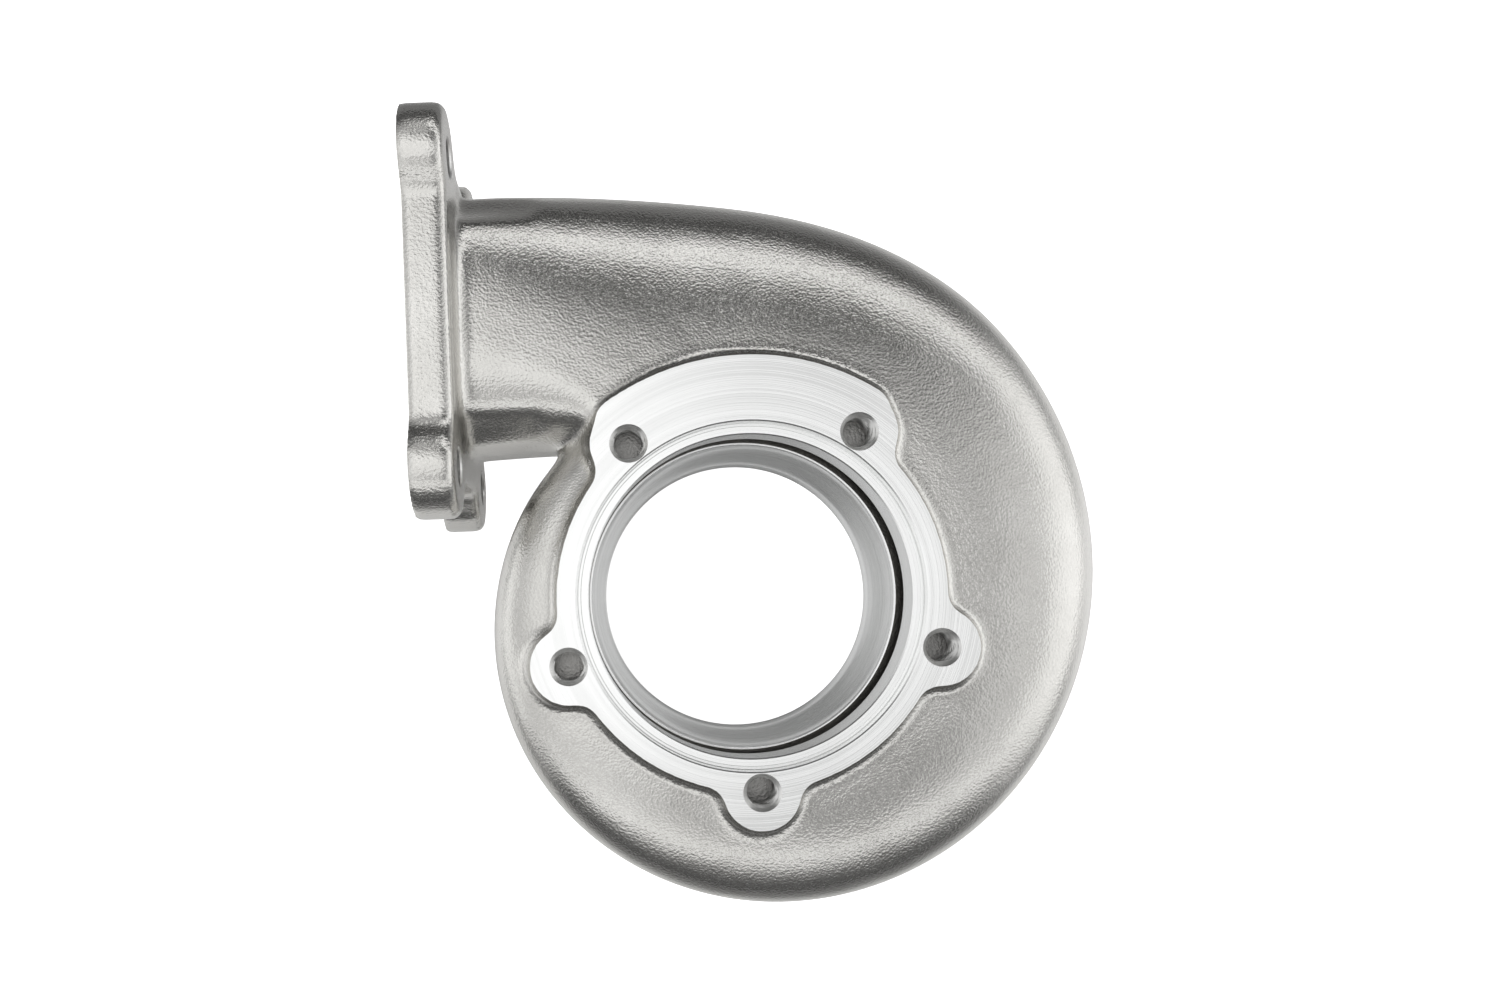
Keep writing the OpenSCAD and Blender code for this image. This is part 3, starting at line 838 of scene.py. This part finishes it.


# %% [markdown]
# ## Materials
# One casting shows six finishes: blasted skin, turned rings, the rough inside of the passage, the milled
# flange face, tapped walls and drilled bottoms. The inside of the passage and the drilled bottoms get darker
# greys, painted shade for those deep hollows. Each keeps one shader that is all metal. Its colour runs
# between two greys by the group's mask, and a bump gives it the group's height in metres.

# %% Materials
def new_material(name, base, roughness, metallic=1.0):
    """New material: returns it, its tree, its shader and its place socket."""
    material = bpy.data.materials.new(name)
    material.use_nodes = True
    tree = material.node_tree
    shader = next(node for node in tree.nodes if node.type == "BSDF_PRINCIPLED")
    shader.inputs["Metallic"].default_value = metallic
    shader.inputs["Base Color"].default_value = (*base, 1)
    shader.inputs["Roughness"].default_value = roughness
    material.diffuse_color = (*base, 1)
    return material, tree, shader, tree.nodes.new("ShaderNodeTexCoord").outputs["Object"]


def bump(tree, shader, height, distance):
    """Shading normal tilted by a height, where 1 stands for `distance` in metres."""
    made = add(tree, "ShaderNodeBump", strength=1.0, distance=distance)
    wire(tree, (height, made.inputs["Height"]), (made.outputs["Normal"], shader.inputs["Normal"]))


def cast_material(name, low, high, roughness, depth):
    """Blasted cast surface between two colours."""
    material, tree, shader, where = new_material(name, high, roughness)
    skin = add(tree, "ShaderNodeGroup", node_tree=cast_skin)
    wire(tree, (where, skin.inputs["Vector"]))
    wire(tree, (blend(tree, ranged(tree, skin.outputs["Mask"], 0.3, 0.7, 0, 1), low, high),
                shader.inputs["Base Color"]),
         (math_node(tree, "ADD", skin.outputs["Roughness"], roughness), shader.inputs["Roughness"]))
    bump(tree, shader, skin.outputs["Height"], depth)
    return material


def cut_material(name, low, high, roughness, depth, across):
    """Machined surface whose marks lie across the radius, or along one axis."""
    material, tree, shader, where = new_material(name, high, roughness)
    x, y, z = split_node(tree, where)
    across_value = math_node(tree, "ADD", length_node(tree, x, y), z) if across == "radius" else y
    marks = add(tree, "ShaderNodeGroup", node_tree=tool_marks)
    wire(tree, (across_value, marks.inputs["Across"]), (where, marks.inputs["Vector"]))
    wire(tree, (blend(tree, ranged(tree, marks.outputs["Mask"], 0.35, 0.85, 0, 1), low, high),
                shader.inputs["Base Color"]))
    bump(tree, shader, marks.outputs["Height"], depth)
    return material


materials = [
    cast_material("cast_steel_blasted", (0.58, 0.572, 0.548), (0.68, 0.672, 0.65), 0.22, 0.00012),
    cut_material("turned_steel", (0.80, 0.805, 0.80), (0.92, 0.925, 0.92), 0.25, 0.000014, "radius"),
    # Painted shade: the dark greys of the passage and the nozzle gap stand in for the shade deep inside
    cast_material("cast_steel_rough", (0.13, 0.125, 0.115), (0.22, 0.215, 0.20), 0.55, 0.0002),
    cut_material("milled_steel", (0.66, 0.66, 0.65), (0.80, 0.80, 0.79), 0.32, 0.00002, "line"),
    cut_material("tapped_steel", (0.55, 0.55, 0.54), (0.72, 0.72, 0.71), 0.30, 0.000012, "line"),
    # Painted shade: the hole bottoms get a darker grey for the shade deep in the holes, besides their duller
    # finish
    cast_material("drilled_steel", (0.26, 0.255, 0.25), (0.42, 0.415, 0.40), 0.45, 0.00016),
]
print("materials:", [material.name for material in materials])

# %% [markdown]
# ## Machining
# Now the order of the real part: the outlet ring is part of the casting, then the core comes out, the bore
# and the face are turned, the flange is milled, and the holes are drilled and tapped. Each is a Boolean on
# closed meshes, applied at once. The cutter's slot numbers stay on the faces that it leaves.

# %% Objects and Booleans
def as_object(name, made, used=materials):
    """Object from vertices in mm, faces of any size, and a slot number for each face."""
    vertices, faces, slots = made
    mesh = bpy.data.meshes.new(name)
    mesh.from_pydata((vertices * MM).tolist(), [], faces)
    for material in used:
        mesh.materials.append(material)
    mesh.polygons.foreach_set("material_index", np.asarray(slots, np.int32))
    mesh.update()
    thing = bpy.data.objects.new(name, mesh)
    bpy.context.scene.collection.objects.link(thing)
    return thing


def machine(target, tool, operation):
    """Boolean of a tool on the target, applied; the tool goes away."""
    modifier = target.modifiers.new("machine", "BOOLEAN")
    modifier.operation, modifier.object, modifier.solver = operation, tool, "MANIFOLD"
    bpy.context.view_layer.update()
    made = bpy.data.meshes.new_from_object(target.evaluated_get(bpy.context.evaluated_depsgraph_get()))
    target.modifiers.clear()
    used_up = target.data, tool.data
    target.data = made
    bpy.data.objects.remove(tool)
    for mesh in used_up:
        bpy.data.meshes.remove(mesh)
    print(operation, "->", len(made.polygons), "faces")


def block(low, high, slot):
    """Box as two rings of four points."""
    (x0, y0, z0), (x1, y1, z1) = low, high
    square = np.array([(x0, y0), (x1, y0), (x1, y1), (x0, y1)], float)
    rings = np.stack([np.column_stack([square, np.full(4, z)]) for z in (z0, z1)])
    return solid(rings, slot)


# %% Cut the casting
mill_low, mill_high = (-110, 20, -5), (inlet_x, 160, 115)
housing = as_object("Turbine_Housing", (skin_mm, skin_quads.tolist(), np.full(len(skin_quads), CAST)))
# The passage walls left by the core take the dark inside finish, painted shade
core = (core_mm, core_quads.tolist(), np.full(len(core_quads), INSIDE))
machine(housing, as_object("ring", outlet_ring), "UNION")
machine(housing, as_object("core", core), "DIFFERENCE")
machine(housing, as_object("bore", bore), "DIFFERENCE")
machine(housing, as_object("mill", block(mill_low, mill_high, MILLED)), "DIFFERENCE")
machine(housing, as_object("holes", holes), "DIFFERENCE")

# %% [markdown]
# ## Sharp edges
# A casting shades smoothly over its whole skin, but a machined edge is crisp. An edge is sharp where two
# slots meet, or where two machined faces meet at more than 25 degrees.

# %% Shade the housing
def edge_faces(mesh):
    """First and last face at each edge, from the list of every face corner's edge."""
    edge_of_corner = np.empty(len(mesh.loops), np.int32)
    mesh.loops.foreach_get("edge_index", edge_of_corner)
    sizes = np.empty(len(mesh.polygons), np.int32)
    mesh.polygons.foreach_get("loop_total", sizes)
    face_of_corner = np.repeat(np.arange(len(sizes)), sizes)
    order = np.argsort(edge_of_corner, kind="stable")
    edges, first, count = np.unique(edge_of_corner[order], return_index=True, return_counts=True)
    return edges, face_of_corner[order][first], face_of_corner[order][first + count - 1], count


def shade(thing, angle):
    """Marks an edge sharp where its faces' slots differ, or where the cosine between the normals of two
    machined faces is less than that of the angle."""
    mesh = thing.data
    edges, one, other, count = edge_faces(mesh)
    normals = np.empty(len(mesh.polygons) * 3)
    mesh.polygons.foreach_get("normal", normals)
    normals = normals.reshape(-1, 3)
    slots = np.empty(len(mesh.polygons), np.int32)
    mesh.polygons.foreach_get("material_index", slots)
    turned_away = (normals[one] * normals[other]).sum(1) < math.cos(math.radians(angle))
    cast = np.isin(slots[one], (CAST, INSIDE))
    sharp = np.zeros(len(mesh.edges), bool)
    sharp[edges] = (slots[one] != slots[other]) | (turned_away & ~cast)
    mesh.shade_smooth()
    mesh.edges.foreach_set("use_edge_sharp", sharp)
    mesh.update()
    print("edges with other than two faces:", int((count != 2).sum()), "sharp:", int(sharp.sum()))


crease = 25
shade(housing, crease)
housing.data.calc_loop_triangles()
print("triangles:", len(housing.data.loop_triangles))
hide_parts("turbine_housing")
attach(housing, "root")

# %% [markdown]
# ## Studio
# The photograph looks straight down from about 40 cm, with the lens shifted sideways, on a plain white
# ground. Metal shows what it reflects, so the light is mainly a soft dome that is bright overhead and at
# both sides, and darker low down at the front and the back, where the real studio was open. The ground is
# part of it: the skin's steep sides and the wall of the bore reflect the ground, not the dome. To the metal
# the ground glows in places and is darker in others: painted light and painted shade.

# %% Ground
# Greys of the ground near the part, far off, and under the bore; far off and under the bore they are
# painted shade and a painted shadow, for the metal to reflect
pale, dim, painted_shadow_under_bore = 0.93, 0.26, 0.4
# Distances in metres over which each patch begins or ends, and how much it glows, as painted light
fade_from, fade_to, stretch, near_glow = 0.13, 0.28, 0.2, 0.09
beside_from, beside_to, level_from, level_to, beside_glow = 0.12, 0.2, 0.04, 0.13, 0.25
bore_from, bore_to, left_glow, right_glow = 0.047, 0.05, 0.45, 0.4


def grey(value):
    """Colour with the same number three times."""
    return value, value, value


def floor_material():
    """White to the camera. To the metal it is pale near the part, and dim far in front and behind as painted
    shade, with a darker grey under the bore as a painted shadow. It glows a little to the left and right and
    lights the wall of the bore from both sides: painted light."""
    material, tree, shader, where = new_material("pale_ground", grey(pale), 0.9, metallic=0.0)
    shader.inputs["Emission Color"].default_value = (1, 1, 1, 1)
    seen = add(tree, "ShaderNodeLightPath").outputs["Is Camera Ray"]
    x, y, _ = split_node(tree, where)
    away = length_node(tree, math_node(tree, "MULTIPLY", x, stretch), y)
    near = ranged(tree, away, fade_from, fade_to, 1, 0)
    abs_x, abs_y = math_node(tree, "ABSOLUTE", x), math_node(tree, "ABSOLUTE", y)
    beside = math_node(tree, "MULTIPLY", ranged(tree, abs_x, beside_from, beside_to, 0, beside_glow),
                       ranged(tree, abs_y, level_from, level_to, 1, 0))
    from_axis = length_node(tree, x, y)
    within = ranged(tree, from_axis, bore_from, bore_to, 1, 0)
    sideways = math_node(tree, "DIVIDE", x, from_axis)
    sides = math_node(tree, "ADD", ranged(tree, sideways, -0.97, -0.5, left_glow, 0),
                      ranged(tree, sideways, 0.6, 0.97, 0, right_glow))
    # Painted light: the ground glows near the part, beside it, and under both sides of the bore
    glow = math_node(tree, "MULTIPLY_ADD", within, sides, beside)
    glow = math_node(tree, "MAXIMUM", math_node(tree, "MULTIPLY_ADD", near, near_glow, glow), seen)
    # Painted shade: the ground's grey is dim far off and darker under the bore, a painted shadow
    colour = blend(tree, within, blend(tree, near, grey(dim), grey(pale)), grey(painted_shadow_under_bore))
    wire(tree, (colour, shader.inputs["Base Color"]), (glow, shader.inputs["Emission Strength"]))
    return material


half_floor, floor_drop = 4000.0, 0.1
floor_corners = np.array([(u * half_floor, v * half_floor, -floor_drop)
                          for u, v in ((-1, -1), (1, -1), (1, 1), (-1, 1))])
floor = as_object("Ground", (floor_corners, [(0, 1, 2, 3)], [0]), [floor_material()])
print("ground:", floor.name, "of", 2 * half_floor * MM, "m")

# %% [markdown]
# ## Dome
# Each side of the dome is a ramp of brightness over height, from straight down to straight up. The ramps
# are blended by compass direction. The stops are few: a bright band stands for a lamp's soft box, and a
# dark one for the gap between two of them.

# %% Sky
# Height in degrees and brightness: to the right, to the left, at the back, at its left end, at the front
sky = (
    [(-90, 0.4), (-8, 1.3), (0, 1.6), (12, 1.4), (24, 1.3), (34, 1.3), (39, 0.25), (45, 1.1), (53, 1.05),
     (58, 0.45), (65, 0.4), (71, 1.3), (80, 1.15), (90, 1.1)],
    [(-90, 0.4), (-8, 1.2), (0, 1.4), (14, 1.25), (30, 0.7), (45, 0.9), (60, 1.1), (76, 1.05), (90, 1.1)],
    [(-90, 0.4), (-8, 0.12), (0, 0.05), (14, 0.05), (24, 0.2), (30, 0.9), (34, 1.65), (43, 1.55), (47, 0.5),
     (51, 0.03), (60, 0.03), (66, 0.4), (73, 1.0), (90, 1.1)],
    [(-90, 0.4), (-8, 0.12), (0, 0.06), (14, 0.08), (26, 0.2), (38, 0.4), (50, 0.5), (62, 0.7), (73, 0.95),
     (90, 1.1)],
    [(-90, 0.4), (-8, 0.15), (0, 0.08), (14, 0.1), (28, 0.2), (36, 0.45), (41, 1.2), (48, 1.5), (53, 0.9),
     (60, 0.58), (70, 0.6), (80, 0.95), (90, 1.1)])


def dome():
    """World whose light depends on height and side. The camera itself sees a plain pale ground."""
    world = bpy.data.worlds.new("Dome")
    world.use_nodes = True
    tree = world.node_tree
    tree.nodes.clear()
    where = tree.nodes.new("ShaderNodeTexCoord").outputs["Generated"]
    x, y, z = split_node(tree, where)
    flat = math_node(tree, "MAXIMUM", length_node(tree, x, y), 0.001)
    east, north = math_node(tree, "DIVIDE", x, flat), math_node(tree, "DIVIDE", y, flat)
    rise = math_node(tree, "DIVIDE", z, math_node(tree, "MAXIMUM", length_node(tree, y, z), 0.001))
    ramps = []
    for stops, height in zip(sky, (z, z, rise, rise, rise)):
        ramp = add(tree, "ShaderNodeValToRGB")
        elements = ramp.color_ramp.elements
        while len(elements) < len(stops):
            elements.new(0.5)
        for element, (degrees, light) in zip(elements, stops):
            element.position = (math.sin(math.radians(degrees)) + 1) / 2
            element.color = (light, light, light, 1)
        wire(tree, (math_node(tree, "MULTIPLY_ADD", height, 0.5, 0.5), ramp.inputs["Fac"]))
        ramps.append(ramp.outputs["Color"])
    right, left, back, back_left, front = ramps
    sides = blend(tree, ranged(tree, east, -0.3, 0.3, 0, 1), left, right)
    behind = blend(tree, ranged(tree, east, -0.17, 0.06, 0, 1), back_left, back)
    ends = blend(tree, ranged(tree, north, -0.3, 0.3, 0, 1), front, behind)
    # High up, but not overhead, the ends are brighter to the left than to the right
    tilt = math_node(tree, "MULTIPLY", east, ranged(tree, z, 0.72, 0.84, 0, -0.8))
    tilt = math_node(tree, "MULTIPLY_ADD", tilt, ranged(tree, z, 0.95, 0.995, 1, 0), 1.0)
    tilted = add(tree, "ShaderNodeVectorMath", operation="SCALE")
    wire(tree, (ends, tilted.inputs[0]), (tilt, tilted.inputs["Scale"]))
    sideways = ranged(tree, math_node(tree, "ABSOLUTE", east), 0.72, 0.98, 0, 1)
    light = blend(tree, sideways, tilted.outputs["Vector"], sides)
    seen = add(tree, "ShaderNodeLightPath").outputs["Is Camera Ray"]
    background = add(tree, "ShaderNodeBackground", strength=1.0)
    final = tree.nodes.new("ShaderNodeOutputWorld")
    wire(tree, (blend(tree, seen, light, (0.98, 0.98, 0.98)), background.inputs["Color"]),
         (background.outputs["Background"], final.inputs["Surface"]))
    bpy.context.scene.world = world


dome()
print("world:", bpy.context.scene.world.name, "with", sum(map(len, sky)), "stops in", len(sky), "ramps")


# %% [markdown]
# ## Lamp and camera
# One weak overhead lamp adds a soft sheen to the faces that look up. The camera's height was found from the
# circles of the bore, which shift and shrink with their depth, so the lens follows from it. The lens is
# shifted, not tilted, as in the photograph: upright walls stay upright.

# %% Lamp and camera
def soft_light(name, place, aim, width, depth, watts):
    """Area light at a place in metres, turned to face a point."""
    data = bpy.data.lights.new(name, "AREA")
    data.shape, data.size, data.size_y, data.energy = "RECTANGLE", width, depth, watts
    lamp = bpy.data.objects.new(name, data)
    bpy.context.scene.collection.objects.link(lamp)
    lamp.location = place
    lamp.rotation_euler = (Vector(aim) - Vector(place)).to_track_quat("-Z", "Y").to_euler()


soft_light("Overhead", (0.0, 0.0, 1.6), (0, 0, 0), 0.9, 0.9, 0.35)

camera_data = bpy.data.cameras.new("Camera")
camera_data.sensor_width = 36.0
camera_data.lens = 25.862
camera_data.shift_x, camera_data.shift_y = 0.10333, 0.061
camera_data.clip_start = 0.01
camera = bpy.data.objects.new("Camera", camera_data)
bpy.context.scene.collection.objects.link(camera)
camera.location = (-45.73 * MM, 2.87 * MM, 395.75 * MM)
camera.rotation_euler = (0, 0, math.radians(-2))
bpy.context.scene.camera = camera
bpy.context.scene.view_settings.view_transform = "Standard"
print("camera", tuple(round(v, 4) for v in camera.location))
